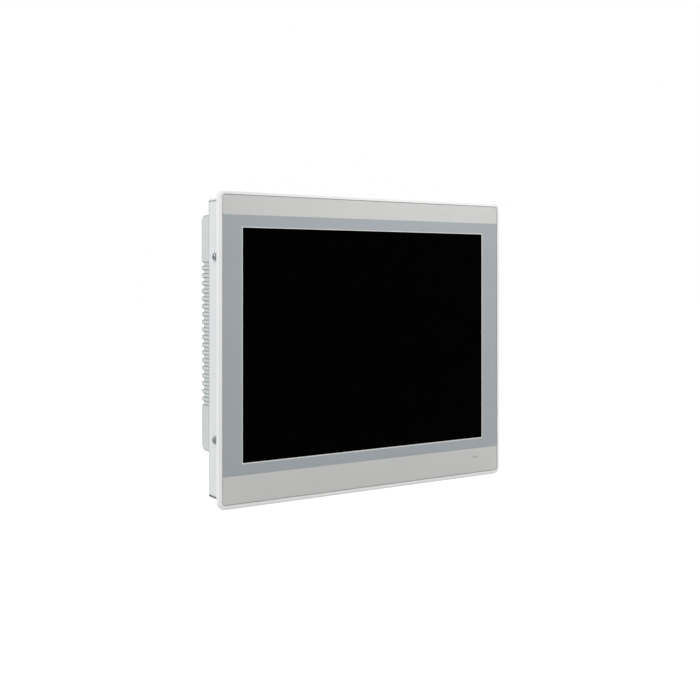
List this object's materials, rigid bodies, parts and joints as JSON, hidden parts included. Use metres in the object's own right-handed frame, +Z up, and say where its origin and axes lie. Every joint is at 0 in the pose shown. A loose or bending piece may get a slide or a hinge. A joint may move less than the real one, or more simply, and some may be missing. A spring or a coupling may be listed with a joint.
{
  "type": "operator touch panel",
  "caption": "Panel-mount industrial touch display: cast front frame with printed film and glass, sheet chassis, finned rear cover, boards, ports and setting switches.",
  "frame": {"origin": "centre of the flange's rear face, the plane that bears on the cabinet sheet", "axes": "+X to the right seen from the front, +Y to the rear, +Z up; the display faces -Y"},
  "size_m": [0.3576, 0.0613, 0.3076],
  "materials": {
    "bezel_paint": "fine satin light grey paint on die-cast aluminium",
    "overlay_film": "printed polyester film, light warm grey bands and a blue-grey centre band",
    "gasket_rubber": "matt black silicone",
    "seal_foam": "black foam tape",
    "touch_glass": "black when the display is off",
    "module_steel": "thin pressed plated steel",
    "cell_glass": "black liquid-crystal glass",
    "module_plastic": "moulded white polycarbonate",
    "sheet_plastic": "white diffuser and prism sheets",
    "guide_acrylic": "clear acrylic with a dotted rear",
    "board_green": "green solder mask on glass-epoxy",
    "bracket_steel": "zinc-plated sheet",
    "screw_steel": "zinc-plated",
    "pipe_acrylic": "clear acrylic light pipe",
    "chassis_paint": "light grey powder coat on sheet steel",
    "cover_metal": "light grey paint on cast aluminium",
    "standoff_brass": "plain turned brass",
    "chip_epoxy": "black moulding compound",
    "thermal_pad": "soft blue-grey silicone pad",
    "spreader_metal": "milled aluminium",
    "socket_plastic": "black moulded plastic",
    "cell_steel": "bright nickel-plated",
    "capacitor_can": "bare aluminium can",
    "port_steel": "tinned or nickel-plated steel shell",
    "plate_steel": "zinc-plated sheet steel",
    "header_plastic": "green moulded nylon",
    "contact_brass": "gold-flashed contacts",
    "serial_plastic": "dark moulded insulator",
    "switch_plastic": "red moulded switch block",
    "slider_plastic": "white slide posts",
    "button_plastic": "black moulded plunger",
    "ribbon_film": "amber flexible film",
    "ribbon_grey": "grey flat cable"
  },
  "bodies": {
    "panel": {"backlight_driver_board": "board_green", "board_screws": "screw_steel", "board_standoffs": "standoff_brass", "bracket_screws": "screw_steel", "capacitors": "capacitor_can", "cell_holder": "socket_plastic", "clinch_nuts": "screw_steel", "coin_cell": "cell_steel", "cover_screws": "screw_steel", "cpu": "chip_epoxy", "dip_switch_body": "switch_plastic", "dust_seal": "seal_foam", "earth_screw": "screw_steel", "ethernet_inserts": "socket_plastic", "ethernet_shells": "port_steel", "front_bezel": "bezel_paint", "front_overlay": "overlay_film", "heat_sink_cover": "cover_metal", "heat_spreader": "spreader_metal", "indicator_board": "board_green", "inner_standoffs": "standoff_brass", "io_plate": "plate_steel", "io_plate_screws": "screw_steel", "lcd_brackets": "bracket_steel", "lcd_cell": "cell_glass", "lcd_control_board": "board_green", "lcd_front_frame": "module_steel", "lcd_mid_frame": "module_plastic", "lcd_rear_pan": "module_steel", "led_strips": "board_green", "light_guide": "guide_acrylic", "lvds_ribbon": "ribbon_grey", "mainboard": "board_green", "memory_module": "board_green", "memory_socket": "socket_plastic", "optical_sheets": "sheet_plastic", "panel_gasket": "gasket_rubber", "power_header": "header_plastic", "power_inductors": "chip_epoxy", "power_pins": "contact_brass", "rear_chassis": "chassis_paint", "reset_switch_body": "socket_plastic", "serial_inserts": "serial_plastic", "serial_jack_nuts": "screw_steel", "serial_shells": "port_steel", "side_screws": "screw_steel", "status_light_pipe": "pipe_acrylic", "thermal_pads": "thermal_pad", "touch_controller_board": "board_green", "touch_gasket": "seal_foam", "touch_glass": "touch_glass", "touch_ribbon": "ribbon_film", "usb_shell": "port_steel", "usb_tongues": "socket_plastic"},
    "reset_button": {"reset_button": "button_plastic"},
    "dip_slider_1": {"dip_slider_1": "slider_plastic"},
    "dip_slider_2": {"dip_slider_2": "slider_plastic"},
    "dip_slider_3": {"dip_slider_3": "slider_plastic"},
    "dip_slider_4": {"dip_slider_4": "slider_plastic"}
  },
  "joints": [
    {"name": "reset_press", "type": "slide", "parent": "panel", "child": "reset_button", "axis": [0, 0, 1], "range_m": [0, 0.0005], "stiffness_N_per_m": 1500, "springref_m": -0.0003},
    {"name": "dip_slide_1", "type": "slide", "parent": "panel", "child": "dip_slider_1", "axis": [0, 1, 0], "range_m": [0, 0.0016]},
    {"name": "dip_slide_2", "type": "slide", "parent": "panel", "child": "dip_slider_2", "axis": [0, 1, 0], "range_m": [0, 0.0016]},
    {"name": "dip_slide_3", "type": "slide", "parent": "panel", "child": "dip_slider_3", "axis": [0, 1, 0], "range_m": [0, 0.0016]},
    {"name": "dip_slide_4", "type": "slide", "parent": "panel", "child": "dip_slider_4", "axis": [0, 1, 0], "range_m": [0, 0.0016]}
  ]
}
